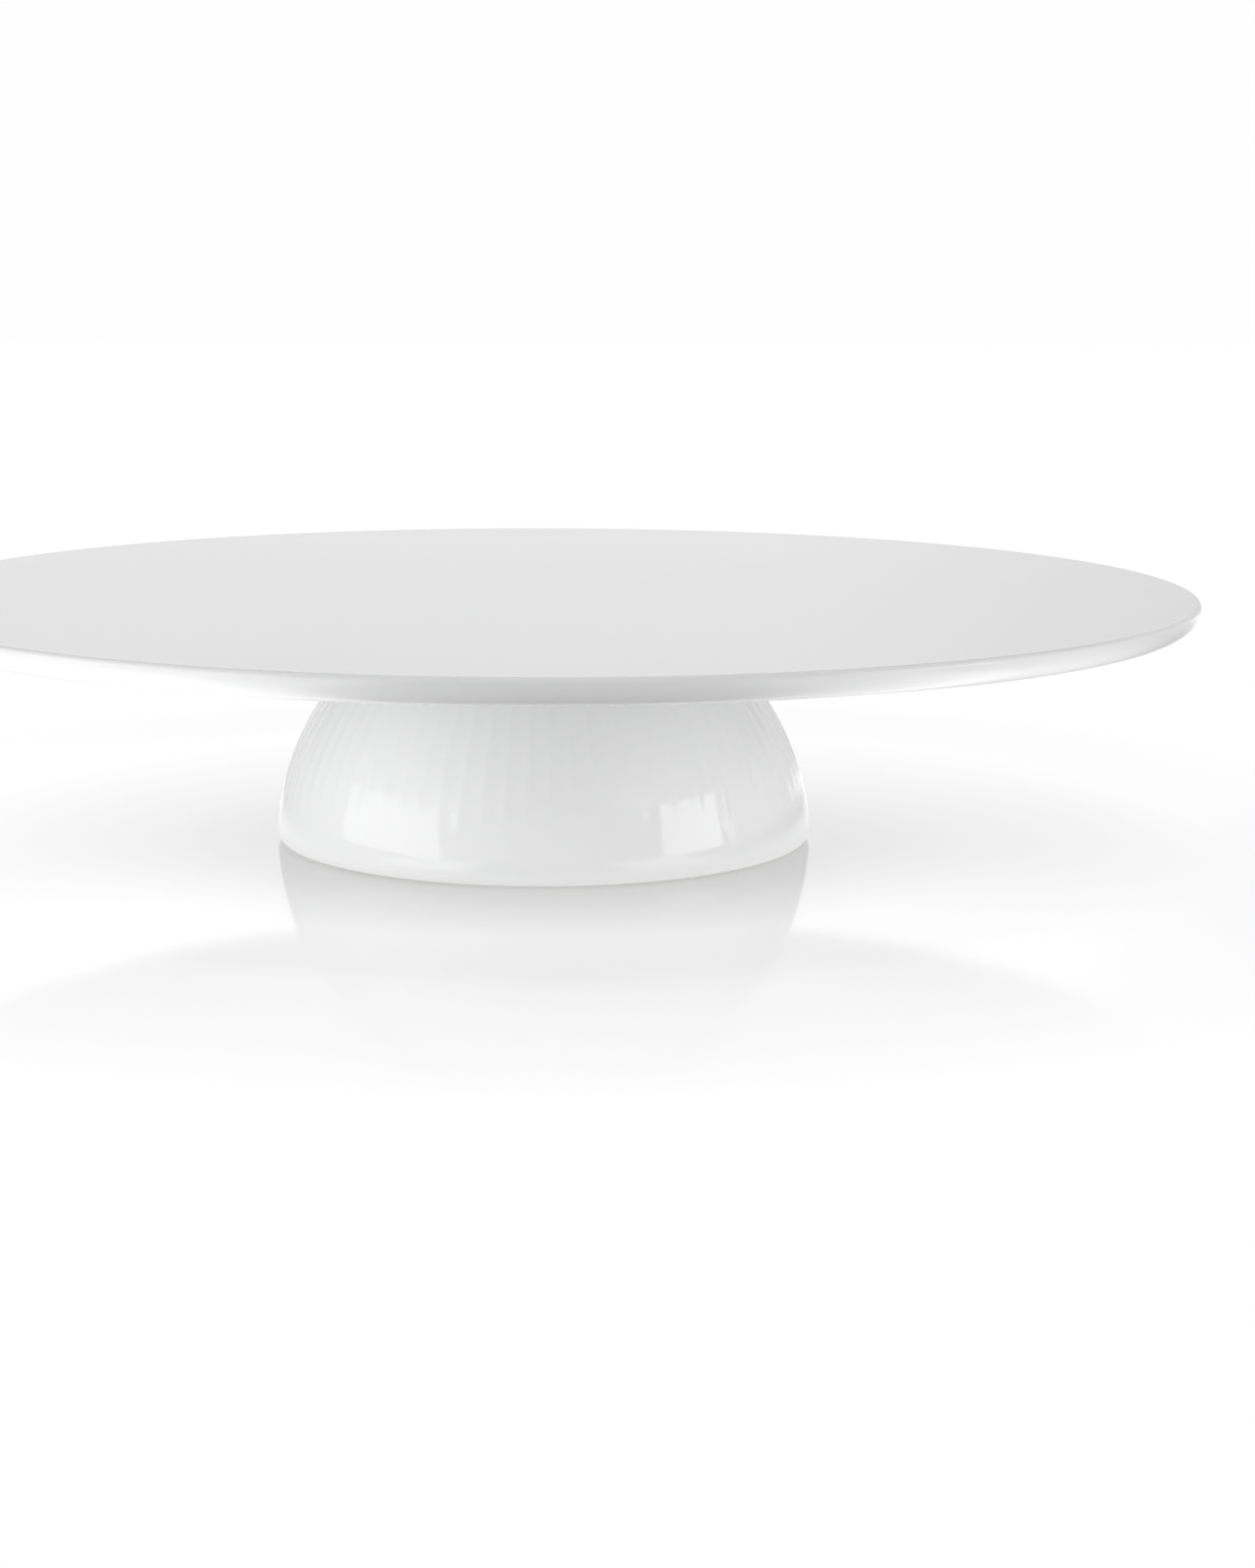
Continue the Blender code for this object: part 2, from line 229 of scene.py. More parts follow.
def rounded(corners, closed):
    """Replaces each corner (radius, height, rounding) by an arc. Returns (radius, height) points."""
    points = []
    count = len(corners)
    for i, (r, z, rounding) in enumerate(corners):
        at_end = not closed and i in (0, count - 1)
        if rounding == 0 or at_end:
            points.append((r, z))
            continue
        here = Vector((r, z))
        back = Vector(corners[i - 1][:2]) - here
        ahead = Vector(corners[(i + 1) % count][:2]) - here
        half = back.angle(ahead) / 2
        reach = min(rounding / math.tan(half), CORNER_LIMIT * back.length, CORNER_LIMIT * ahead.length)
        radius = reach * math.tan(half)
        back.normalize()
        ahead.normalize()
        centre = here + (back + ahead).normalized() * (radius / math.sin(half))
        first = here + back * reach - centre
        last = here + ahead * reach - centre
        start = math.atan2(first.y, first.x)
        sweep = (math.atan2(last.y, last.x) - start + math.pi) % TURN - math.pi
        for step in range(CORNER_STEPS + 1):
            angle = start + sweep * step / CORNER_STEPS
            points.append((centre.x + radius * math.cos(angle), centre.y + radius * math.sin(angle)))
    return points


def ellipse_arc(centre, radii, start, end, steps):
    """Points of an elliptical arc from start to end, in degrees, both ends included."""
    points = []
    for i in range(steps + 1):
        angle = math.radians(start + (end - start) * i / steps)
        points.append((centre[0] + radii[0] * math.cos(angle), centre[1] + radii[1] * math.sin(angle)))
    return points


def bowl_radius(height, radius, rise):
    """Radius of the superellipse at a height above the table: the foot's outer side or its hollow."""
    share = (height - FOOT_SPRING) / rise
    return radius * math.sqrt(1 - share**FOOT_POWER)


def smoothstep(low, high, value):
    """0 below low, 1 above high, and an S between them."""
    share = min(max((value - low) / (high - low), 0.0), 1.0)
    return share * share * (3 - 2 * share)


# ---------------------------------------------------------------- meshes

def turned(name, outline, segments, closed, shape=None):
    """Mesh turned about Z from (radius, height) points. An open outline starts and ends on the axis.

    shape(radius, height, angle, index) may return another radius and height for a point.
    """
    shaper = shape or (lambda radius, height, angle, index: (radius, height))
    mesh = bmesh.new()
    rings = []
    for index, (radius, height) in enumerate(outline):
        if radius < ON_AXIS:
            rings.append([mesh.verts.new((0, 0, height))])
            continue
        ring = []
        for step in range(segments):
            angle = TURN * step / segments
            r, z = shaper(radius, height, angle, index)
            ring.append(mesh.verts.new((r * math.cos(angle), r * math.sin(angle), z)))
        rings.append(ring)
    pairs = list(zip(rings, rings[1:]))
    if closed:
        pairs.append((rings[-1], rings[0]))
    for upper, lower in pairs:
        for step in range(segments):
            after = (step + 1) % segments
            corners = [upper[step % len(upper)], lower[step % len(lower)]]
            if len(lower) > 1:
                corners.append(lower[after])
            if len(upper) > 1:
                corners.append(upper[after])
            mesh.faces.new(corners)
    bmesh.ops.recalc_face_normals(mesh, faces=mesh.faces)
    data = bpy.data.meshes.new(name)
    mesh.to_mesh(data)
    mesh.free()
    piece = bpy.data.objects.new(name, data)
    bpy.context.scene.collection.objects.link(piece)
    data.shade_smooth()
    return piece


def finish_piece(piece, node, materials, sharp_degrees=PLAIN_SHARP):
    """Gives the piece its materials and puts it in the CAD node's place."""
    for material in materials:
        piece.data.materials.append(material)
    piece.data.set_sharp_from_angle(angle=math.radians(sharp_degrees))
    body = next(n for n, members in frame["record"]["behaviour"]["bodies"].items() if node in members)
    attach(piece, body)
    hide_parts(node)


def paint_faces(piece, index, wanted):
    """Faces whose centre passes wanted(radius, height, normal) take material number index."""
    for face in piece.data.polygons:
        radius = math.hypot(face.center.x, face.center.y)
        if wanted(radius, face.center.z, face.normal):
            face.material_index = index


# ---------------------------------------------------------------- materials

def node_tree(name):
    """A new material, its node tree and its Principled shader."""
    material = bpy.data.materials.new(name)
    material.use_nodes = True
    tree = material.node_tree
    return material, tree, tree.nodes["Principled BSDF"]


def add(tree, kind, **settings):
    """A node with its properties and socket values set. Sockets are named with _ for a space."""
    made = tree.nodes.new(kind)
    for key, value in settings.items():
        if hasattr(made, key):
            setattr(made, key, value)
        else:
            made.inputs[key.replace("_", " ")].default_value = value
    return made


def object_place(tree):
    return add(tree, "ShaderNodeTexCoord").outputs["Object"]


def noise(tree, place, scale, detail=2.0, roughness=0.5):
    texture = add(tree, "ShaderNodeTexNoise", Scale=scale, Detail=detail, Roughness=roughness)
    tree.links.new(place, texture.inputs["Vector"])
    return texture.outputs["Fac"]


def ranged(tree, value, low, high, new_low, new_high):
    """Maps a value from one range to another, clamped."""
    made = add(tree, "ShaderNodeMapRange")
    made.inputs["From Min"].default_value = low
    made.inputs["From Max"].default_value = high
    made.inputs["To Min"].default_value = new_low
    made.inputs["To Max"].default_value = new_high
    tree.links.new(value, made.inputs["Value"])
    return made.outputs["Result"]


def mixed_colour(tree, factor, colours):
    """Blends two colours. The node has an A and a B for every kind of value, so they go by type."""
    made = add(tree, "ShaderNodeMix", data_type="RGBA")
    tree.links.new(factor, made.inputs["Factor"])
    sockets = [socket for socket in made.inputs if socket.type == "RGBA"]
    for socket, colour in zip(sockets, colours):
        socket.default_value = (*colour, 1)
    return next(socket for socket in made.outputs if socket.type == "RGBA")


def bumped(tree, heights, shader):
    """Chains bumps of (height output, strength, distance) into the shader's normal."""
    normal = None
    for height, strength, distance in heights:
        bump = add(tree, "ShaderNodeBump", Strength=strength, Distance=distance)
        tree.links.new(height, bump.inputs["Height"])
        if normal is not None:
            tree.links.new(normal, bump.inputs["Normal"])
        normal = bump.outputs["Normal"]
    tree.links.new(normal, shader.inputs["Normal"])


def glaze(name):
    """Clear feldspar glaze over white porcelain: cool white, a hair of ripple, faint pooling."""
    material, tree, shader = node_tree(name)
    place = object_place(tree)
    pooling = noise(tree, place, scale=9.0, detail=3.0)
    colour = mixed_colour(tree, ranged(tree, pooling, *POOLING, 0, 1), GLAZE_COLOURS)
    tree.links.new(colour, shader.inputs["Base Color"])
    sheen = noise(tree, place, scale=60.0, detail=4.0)
    smoothest, roughest = 0.018, 0.034
    tree.links.new(ranged(tree, sheen, *NOISE_MIDDLE, smoothest, roughest), shader.inputs["Roughness"])
    shader.inputs["IOR"].default_value = PORCELAIN_IOR
    shader.inputs["Subsurface Weight"].default_value = 0.15
    shader.inputs["Subsurface Radius"].default_value = (1.0, 0.95, 0.85)
    shader.inputs["Subsurface Scale"].default_value = 1.2 * MM
    ripple = noise(tree, place, scale=130.0, detail=1.0)
    bumped(tree, [(ripple, 0.03, 0.3 * MM)], shader)
    return material


def bisque(name):
    """Porcelain left bare and ground flat: matt, finely pitted, slightly warmer than the glaze."""
    material, tree, shader = node_tree(name)
    place = object_place(tree)
    stain = noise(tree, place, scale=160.0, detail=4.0, roughness=0.6)
    colour = mixed_colour(tree, ranged(tree, stain, *STAIN, 0, 1), BISQUE_COLOURS)
    tree.links.new(colour, shader.inputs["Base Color"])
    grain = noise(tree, place, scale=2600.0, detail=2.0)
    smoothest, roughest = 0.62, 0.82
    tree.links.new(ranged(tree, grain, *NOISE_MIDDLE, smoothest, roughest), shader.inputs["Roughness"])
    bumped(tree, [(grain, 0.5, 0.06 * MM)], shader)
    return material


def silicone(name, colour):
    """Moulded translucent silicone with a satin skin and a faint mottle."""
    material, tree, shader = node_tree(name)
    place = object_place(tree)
    mottle = noise(tree, place, scale=220.0, detail=3.0)
    darker = tuple(MOTTLE_SHADE * channel for channel in colour)
    mottled = mixed_colour(tree, ranged(tree, mottle, *NOISE_MIDDLE, 0, 1), (darker, colour))
    tree.links.new(mottled, shader.inputs["Base Color"])
    skin = noise(tree, place, scale=1500.0, detail=2.0)
    smoothest, roughest = 0.38, 0.52
    tree.links.new(ranged(tree, skin, *NOISE_MIDDLE, smoothest, roughest), shader.inputs["Roughness"])
    shader.inputs["IOR"].default_value = SILICONE_IOR
    shader.inputs["Subsurface Weight"].default_value = 0.35
    shader.inputs["Subsurface Radius"].default_value = (1.0, 0.9, 0.8)
    shader.inputs["Subsurface Scale"].default_value = 1.5 * MM
    bumped(tree, [(skin, 0.15, 0.05 * MM)], shader)
    return material


def axis_distance(tree, place):
    """Distance from the stand's axis and height above the table."""
    parts = add(tree, "ShaderNodeSeparateXYZ")
    flat = add(tree, "ShaderNodeCombineXYZ")
    length = add(tree, "ShaderNodeVectorMath", operation="LENGTH")
    tree.links.new(place, parts.inputs["Vector"])
    tree.links.new(parts.outputs["X"], flat.inputs["X"])
    tree.links.new(parts.outputs["Y"], flat.inputs["Y"])
    tree.links.new(flat.outputs["Vector"], length.inputs[0])
    return length.outputs["Value"], parts.outputs["Z"]


def turned_metal(name, colours, roughness, mark_spacing):
    """Metal turned on a lathe: fine uneven rings, about mark_spacing apart, and a varied polish."""
    material, tree, shader = node_tree(name)
    place = object_place(tree)
    radius, height = axis_distance(tree, place)
    stretch = add(tree, "ShaderNodeCombineXYZ")
    tree.links.new(radius, stretch.inputs["X"])
    tree.links.new(height, stretch.inputs["Y"])
    marks = noise(tree, stretch.outputs["Vector"], scale=1 / mark_spacing, detail=3.0, roughness=0.7)
    cloud = noise(tree, place, scale=180.0, detail=3.0)
    colour = mixed_colour(tree, ranged(tree, cloud, *NOISE_MIDDLE, 0, 1), colours)
    tree.links.new(colour, shader.inputs["Base Color"])
    shader.inputs["Metallic"].default_value = 1.0
    smoothest, roughest = roughness - 0.07, roughness + 0.09
    tree.links.new(ranged(tree, marks, *NOISE_MIDDLE, smoothest, roughest), shader.inputs["Roughness"])
    bumped(tree, [(marks, 0.35, 0.03 * MM)], shader)
    return material


# ---------------------------------------------------------------- pieces

def make_plate(glazed, bare):
    """One broad flat disc with a rounded arris, an undercut rim, a ground seat ring and the stub."""
    top = PLATE_HIGH.z
    radius = PLATE_HIGH.x
    low = PLATE_LOW.z
    seat = low + STUB_LENGTH
    seat_radius = GASKET_HIGH.x + SEAT_MARGIN
    band_top = top - TOP_ROUND
    band_foot = band_top - RIM_BAND
    rim_under = top - RIM_THICKNESS
    outline = [(0, top)]
    outline += [(radius * share, top) for share in TOP_RINGS]
    outline.append((radius - TOP_ROUND - ARRIS_HOLD, top))
    outline += ellipse_arc((radius - TOP_ROUND, band_top), (TOP_ROUND, TOP_ROUND), 90, 0, ARRIS_STEPS)
    undercut = (RIM_UNDERCUT, band_foot - rim_under)
    under_start = radius - RIM_UNDERCUT
    outline += ellipse_arc((under_start, band_foot), undercut, 0, -90, UNDERCUT_STEPS)
    under_end = seat + SEAT_PROUD
    for share in UNDER_RINGS:
        inwards = share * (under_start - seat_radius)
        outline.append((under_start - inwards, rim_under - share * (rim_under - under_end)))
    outline += rounded(
        [
            (seat_radius + UNDER_BLEND, under_end + BLEND_DROP, 0),
            (seat_radius + SEAT_PROUD, under_end, UNDER_BLEND),
            (seat_radius, seat, SEAT_EDGE_ROUND),
            (STUB_RADIUS, seat, SEAT_EDGE_ROUND),
            (STUB_RADIUS, low, STUB_ROUND),
            (SOCKET_RADIUS, low, STUB_ROUND / 2),
            (SOCKET_RADIUS, low + SOCKET_DEPTH, STUB_ROUND),
            (0, low + SOCKET_DEPTH, 0),
        ],
        False,
    )
    piece = turned("serving_plate", outline, PLATE_SEGMENTS, False)
    finish_piece(piece, "plate", [glazed, bare])

    def is_bare(face_radius, height, normal):
        on_seat = normal.z < FACING_DOWN and abs(height - seat) < TOLERANCE
        ground = SLEEVE_OUTER + SEAT_BORDER < face_radius < seat_radius - SEAT_BORDER
        stub_end = height < seat - STUB_LENGTH / 2 and face_radius < STUB_RADIUS
        return (on_seat and ground) or stub_end

    paint_faces(piece, 1, is_bare)


def foot_outline():
    """The foot's closed section: crown, outer side, lip with its groove, bead and hollow."""
    top = FOOT_HIGH.z
    bowl_top = top - SHOULDER_DROP
    bottom = FOOT_LOW.z + LIP_ROUND
    edge = bowl_radius(bowl_top, FOOT_HIGH.x, FOOT_RISE)
    crown = edge - SHOULDER_WIDTH
    outline = rounded(
        [
            (CROWN_HOLE_RADIUS, top - CROWN_THICKNESS / 2, 0),
            (CROWN_HOLE_RADIUS, top, CROWN_HOLE_ROUND),
            (crown - EDGE_STUB, top, 0),
        ],
        False,
    )
    for i in range(SHOULDER_STEPS):
        share = i / SHOULDER_STEPS
        outline.append((crown + SHOULDER_WIDTH * share, top - SHOULDER_DROP * share**2))
    for i in range(SIDE_STEPS):
        share = math.cos(0.5 * math.pi * i / SIDE_STEPS)
        height = bottom + (bowl_top - bottom) * share
        outline.append((bowl_radius(height, FOOT_HIGH.x, FOOT_RISE), height))
    lip = (LIP_ROUND, LIP_ROUND)
    outline += ellipse_arc((FOOT_HIGH.x - LIP_ROUND, bottom), lip, 0, LIP_SWEEP, LIP_STEPS)
    groove_top = FOOT_LOW.z + GROOVE_DEPTH
    outline += rounded(
        [
            (GROOVE_OUTER + EDGE_STUB, FOOT_LOW.z, 0),
            (GROOVE_OUTER, FOOT_LOW.z, GROOVE_ROUND),
            (GROOVE_OUTER, groove_top, GROOVE_ROUND),
            (GROOVE_INNER, groove_top, GROOVE_ROUND),
            (GROOVE_INNER, FOOT_LOW.z, GROOVE_ROUND),
            (BEAD_RADIUS, FOOT_LOW.z, LIP_ROUND),
            (BEAD_RADIUS, BEAD_HEIGHT, 0),
        ],
        False,
    )
    under = top - CROWN_THICKNESS
    blend = bowl_radius(BEAD_BLEND, HOLLOW_RADIUS, HOLLOW_RISE)
    for share in BEAD_RINGS:
        # the bead behind the lip runs out into the wall in an S
        radius = BEAD_RADIUS + (blend - BEAD_RADIUS) * smoothstep(0, 1, share)
        outline.append((radius, BEAD_HEIGHT + (BEAD_BLEND - BEAD_HEIGHT) * share))
    for i in range(HOLLOW_STEPS + 1):
        share = math.sin(0.5 * math.pi * i / HOLLOW_STEPS)
        height = BEAD_BLEND + (under - BEAD_BLEND) * share
        outline.append((bowl_radius(height, HOLLOW_RADIUS, HOLLOW_RISE), height))
    outline += rounded(
        [
            (CROWN_HOLE_RADIUS + CROWN_HOLE_FLAT, under, 0),
            (CROWN_HOLE_RADIUS, under, CROWN_HOLE_ROUND),
            (CROWN_HOLE_RADIUS, top - CROWN_THICKNESS / 2, 0),
        ],
        False,
    )[:-1]
    return outline


def flute_shaper(outline):
    """Presses the flutes into the outer side: wide soft hollows with narrow ridges between them."""
    dice = random.Random(FLUTE_SEED)
    uneven = [1 + FLUTE_UNEVEN * dice.uniform(-1, 1) for _ in range(FLUTES)]
    full = math.sqrt(1 + FLUTE_SOFTNESS**2) - FLUTE_SOFTNESS
    ridge_angle = FLUTE_TURN - math.pi / 2
    bowl_top = FOOT_HIGH.z - SHOULDER_DROP
    edge = bowl_radius(bowl_top, FOOT_HIGH.x, FOOT_RISE)

    def shape(radius, height, angle, index):
        if radius <= edge - SHOULDER_WIDTH or height <= FLUTE_START:
            return radius, height
        hollow_side = bowl_radius(min(height, bowl_top), HOLLOW_RADIUS, HOLLOW_RISE)
        if radius < hollow_side + FLUTE_WALL:
            return radius, height
        place = (angle - ridge_angle) / TURN * FLUTES
        hollow = (math.sqrt(math.sin(math.pi * place) ** 2 + FLUTE_SOFTNESS**2) - FLUTE_SOFTNESS) / full
        fade = 1 - math.exp((FLUTE_START - height) / FLUTE_RUNOUT)
        crown = smoothstep(edge - SHOULDER_WIDTH, edge + CROWN_FADE, radius)
        depth = FLUTE_DEPTH * uneven[int(math.floor(place)) % FLUTES] * fade * crown * radius / FOOT_HIGH.x
        before = Vector(outline[index - 1])
        along = (Vector(outline[index + 1]) - before).normalized()
        return radius + along.y * depth * hollow, height - along.x * depth * hollow

    return shape


def make_foot(glazed, bare):
    """The upturned bowl, glazed all over but for the edge it stood on in the kiln and the groove."""
    outline = foot_outline()
    piece = turned("fluted_foot", outline, FLUTES * FLUTE_SAMPLES, True, flute_shaper(outline))
    finish_piece(piece, "foot", [glazed, bare], FOOT_SHARP)

    def is_bare(radius, height, normal):
        in_groove = GROOVE_INNER < radius < GROOVE_OUTER and height < BARE_GROOVE
        return height < FOOT_LOW.z + BARE_LIP or in_groove

    paint_faces(piece, 1, is_bare)


def make_base_ring(material):
    """Soft ring in the lip's groove, with three ribs that grip the table."""
    inner, outer = RING_HIGH.x - RING_WIDTH, RING_HIGH.x
    pitch = RING_WIDTH / (RING_RIBS - 1 + RIB_FLAT)
    corners = [(inner, RING_HIGH.z, RING_ROUND), (outer, RING_HIGH.z, RING_ROUND)]
    for i in range(RING_RIBS):
        start = outer - pitch * i
        corners.append((start, RING_LOW.z, RIB_ROUND))
        corners.append((start - RIB_FLAT * pitch, RING_LOW.z, RIB_ROUND))
        if i < RING_RIBS - 1:
            for share in RIB_VALLEY:
                corners.append((start - share * pitch, RING_LOW.z + RIB_HEIGHT, VALLEY_ROUND))
    piece = turned("silicone_base_ring", rounded(corners, True), RING_SEGMENTS, True)
    finish_piece(piece, "base_ring", [material])


def make_gasket(material):
    """Flange between foot and plate, with a sleeve that centres the stub in the crown's hole."""
    corners = [
        (SLEEVE_INNER, GASKET_HIGH.z, SOFT_EDGE),
        (GASKET_HIGH.x, GASKET_HIGH.z, SOFT_EDGE),
        (GASKET_HIGH.x, GASKET_HIGH.z - FLANGE_THICKNESS, SOFT_EDGE),
        (SLEEVE_OUTER, GASKET_HIGH.z - FLANGE_THICKNESS, SOFT_EDGE),
        (SLEEVE_OUTER, GASKET_LOW.z, SOFT_EDGE),
        (SLEEVE_INNER, GASKET_LOW.z, SOFT_EDGE),
    ]
    piece = turned("silicone_gasket", rounded(corners, True), RING_SEGMENTS, True)
    finish_piece(piece, "seat_gasket", [material])


def make_soft_washer(material):
    """Silicone washer with two moulded grooves on its lower face."""
    outer = SOFT_HIGH.x
    corners = [
        (STUD_HOLE, SOFT_HIGH.z, SOFT_EDGE),
        (outer, SOFT_HIGH.z, SOFT_EDGE),
        (outer, SOFT_LOW.z, SOFT_EDGE),
    ]
    for inset in WASHER_GROOVES:
        groove = outer - inset
        corners += [
            (groove + WASHER_GROOVE_HALF, SOFT_LOW.z, 0.1 * MM),
            (groove, SOFT_LOW.z + WASHER_GROOVE_DEPTH, 0.2 * MM),
            (groove - WASHER_GROOVE_HALF, SOFT_LOW.z, 0.1 * MM),
        ]
    corners.append((STUD_HOLE, SOFT_LOW.z, SOFT_EDGE))
    piece = turned("silicone_washer", rounded(corners, True), RING_SEGMENTS, True)
    finish_piece(piece, "crown_washer", [material])


def make_steel_washer(material):
    """Stamped washer: the upper edges are rolled by the die, the lower ones are sharper."""
    outer = STEEL_HIGH.x
    corners = [
        (STUD_HOLE, STEEL_HIGH.z, STAMPED_INNER),
        (outer, STEEL_HIGH.z, STAMPED_OUTER),
        (outer, STEEL_LOW.z, STAMPED_LOWER),
        (STUD_HOLE, STEEL_LOW.z, STAMPED_LOWER),
    ]
    piece = turned("steel_washer", rounded(corners, True), RING_SEGMENTS, True)
    finish_piece(piece, "load_washer", [material])


def thread_share(height, angle):
    """0 at a thread's root and 1 at its crest, with straight flanks between the flats."""
    place = (height / THREAD_PITCH - angle / TURN) % 1.0
    rise = min(place, 1 - place) * 2
    return min(max((rise - THREAD_ROOT) / THREAD_FLANK, 0.0), 1.0)


def make_stud(material):
    """Stainless M8 stud with a rolled thread and chamfered ends."""
    low, high = STUD_LOW.z, STUD_HIGH.z
    crest = STUD_HIGH.x
    row = THREAD_PITCH / THREAD_ROWS
    rows = int((high - low) / row)
    heights = [high - (high - low) * i / rows for i in range(rows + 1)]
    outline = [(0, high), (crest - STUD_CHAMFER, high)]
    outline += [(crest, height) for height in heights[1:-1]]
    outline += [(crest - STUD_CHAMFER, low), (0, low)]

    def shape(radius, height, angle, index):
        if radius < crest:
            return radius, height
        depth = THREAD_DEPTH * (1 - thread_share(height, angle))
        end = max(STUD_CHAMFER - min(high - height, height - low), 0)
        return crest - max(depth, end), height

    piece = turned("threaded_stud", outline, THREAD_SEGMENTS, False, shape)
    finish_piece(piece, "clamp_stud", [material], STUD_SHARP)


def make_insert(material):
    """Brass insert: knurled outside in two bands, threaded inside, with a lead-in at each mouth."""
    low, high = INSERT_LOW.z, INSERT_HIGH.z
    outer = INSERT_HIGH.x
    bore = STUD_HIGH.x + THREAD_CLEARANCE
    middle = (low + high) / 2
    corners = [
        (bore + INSERT_MOUTH, high, 0.1 * MM),
        (outer - 0.5 * MM, high, 0.3 * MM),
        (outer, high - 0.8 * MM, 0.2 * MM),
        (outer, middle + 0.8 * MM, 0.1 * MM),
        (outer - INSERT_WAIST, middle + WAIST_HALF, 0.2 * MM),
        (outer - INSERT_WAIST, middle - WAIST_HALF, 0.2 * MM),
        (outer, middle - 0.8 * MM, 0.1 * MM),
        (outer, low + 0.6 * MM, 0.2 * MM),
        (outer - 0.4 * MM, low, 0.2 * MM),
        (bore + INSERT_MOUTH, low, 0.1 * MM),
    ]
    outline = rounded(corners, True)
    rows = int((high - low) / (THREAD_PITCH / THREAD_ROWS))
    outline += [(bore, low + (high - low) * i / rows) for i in range(1, rows)]

    def shape(radius, height, angle, index):
        if radius > outer - TOLERANCE:
            return radius - KNURL_DEPTH * (0.5 - 0.5 * math.cos(KNURL_RIDGES * angle)), height
        if radius > bore + SAME_PLACE:
            return radius, height
        depth = THREAD_DEPTH * (1 - thread_share(height + THREAD_PITCH / 2, angle))
        mouth = max(INSERT_MOUTH - min(high - height, height - low), 0)
        return bore + max(THREAD_DEPTH - depth, mouth), height

    piece = turned("brass_insert", outline, INSERT_SEGMENTS, True, shape)
    finish_piece(piece, "threaded_insert", [material], INSERT_SHARP)


def make_knob(material):
    """Scalloped knob: rounded grip, plain hub on top, a shallow dish in the end face."""
    low, high = KNOB_LOW.z, KNOB_HIGH.z
    grip_top = high - HUB_HEIGHT
    grip = KNOB_HIGH.x
    bore_floor = high - BORE_DEPTH
    outline = rounded(
        [
            (0, bore_floor, 0),
            (BORE_RADIUS, bore_floor, 0.2 * MM),
            (BORE_RADIUS, high, 0.4 * MM),
            (HUB_RADIUS, high, 0.5 * MM),
            (HUB_RADIUS, grip_top, 0.6 * MM),
            (HUB_RADIUS + 2 * MM, grip_top, 0),
            (grip, grip_top, GRIP_ROUND),
            (grip, low, GRIP_ROUND),
            (HUB_RADIUS + 1.2 * MM, low, 0.6 * MM),
            (HUB_RADIUS + 0.4 * MM, low + 0.5 * MM, 0.3 * MM),
            (HUB_RADIUS - 2 * MM, low + 0.7 * MM, 0.5 * MM),
            (0, low + KNOB_DISH, 0),
        ],
        False,
    )
    bevel_start = HUB_RADIUS + BEVEL_MARGIN

    def shape(radius, height, angle, index):
        if radius <= bevel_start or height > grip_top + SAME_PLACE:
            return radius, height
        from_cut = (angle / TURN * SCALLOPS + 0.5) % 1.0 - 0.5
        aside = math.sin(from_cut * TURN / SCALLOPS) * SCALLOP_CIRCLE
        side = grip
        if abs(aside) < SCALLOP_RADIUS:
            near = math.cos(from_cut * TURN / SCALLOPS) * SCALLOP_CIRCLE
            cut = near - math.sqrt(SCALLOP_RADIUS**2 - aside**2)
            soft = math.exp(-SCALLOP_SHARPNESS * (cut - grip)) + 1
            side = grip - math.log(soft) / SCALLOP_SHARPNESS
        share = (radius - bevel_start) / (grip - bevel_start)
        return bevel_start + share * (side - bevel_start), height

    piece = turned("scalloped_knob", outline, KNOB_SEGMENTS, False, shape)
    finish_piece(piece, "thumb_knob", [material], KNOB_SHARP)


# ---------------------------------------------------------------- studio

# Radiance of the studio by azimuth: degrees from the front, positive to the right. It ramps in between.
# The low wall holds the bright panels that the foot mirrors: one at the left, one and a strip at the right.
LOW_WALL = (
    (-180, 0.93), (-156, 0.93), (-148, 0.76), (-112, 0.58), (-98, 0.60), (-92, 1.95), (-60, 2.4),
    (-44.5, 2.78), (-43.5, 0.80), (-24, 0.80), (-20, 0.69), (20, 0.61), (24, 0.32), (49, 0.32), (52, 2.35),
    (60, 2.65), (81.2, 2.9), (81.8, 0.25), (85.0, 0.25), (85.6, 1.7), (87.4, 1.7), (88, 0.62), (108, 0.82),
    (148, 0.80), (164, 0.76), (175, 0.93), (180, 0.93),
)
MID_WALL = (
    (-180, 0.80), (-152, 0.80), (-148, 0.66), (-112, 0.46), (-44, 0.64), (-24, 0.72), (-20, 0.66), (20, 0.63),
    (24, 0.28), (50, 0.29), (110, 0.63), (148, 0.68), (152, 0.80), (180, 0.80),
)
HIGH_WALL = (
    (-180, 0.52), (-122, 0.52), (-118, 1.11), (-62, 1.11), (-58, 0.28), (58, 0.28), (62, 0.92), (118, 0.92),
    (122, 0.52), (180, 0.52),
)
# What the table throws back at the stand, by the same azimuths: far out, and near the foot
FLOOR_BOUNCE = (
    (-180, 0.80), (-146, 0.74), (-114, 0.68), (-90, 0.62), (-62, 0.54), (-49, 2.05), (-28, 2.15), (-20, 0.32),
    (21, 0.32), (32, 1.65), (52, 1.65), (62, 0.36), (110, 0.45), (128, 0.80), (140, 1.25), (150, 0.70),
    (180, 0.80),
)
UNDER_BOUNCE = (
    (-180, 2.3), (-150, 2.3), (-118, 1.02), (118, 1.02), (150, 2.3), (180, 2.3),
)
UNDER_EDGE = (0.09, 0.13)  # distances from the axis over which the near table gives way to the rest
CONTACT_EDGE = (0.0655, 0.080)  # distances over which the table comes out of the foot's own shadow
CONTACT_LEVEL = 0.80  # share of its light that the table throws back inside that shadow
PANEL_TOP = (0.350, 0.360)  # heights on the unit sphere where the low wall gives way to the middle one
WALL_EDGE = (0.51, 0.55)  # and the middle one to the high one
CEILING_EDGE = (0.86, 0.90)  # and the high one to the ceiling
CEILING = 0.80
BACKGROUND = 0.991  # radiance that the camera sees behind the table
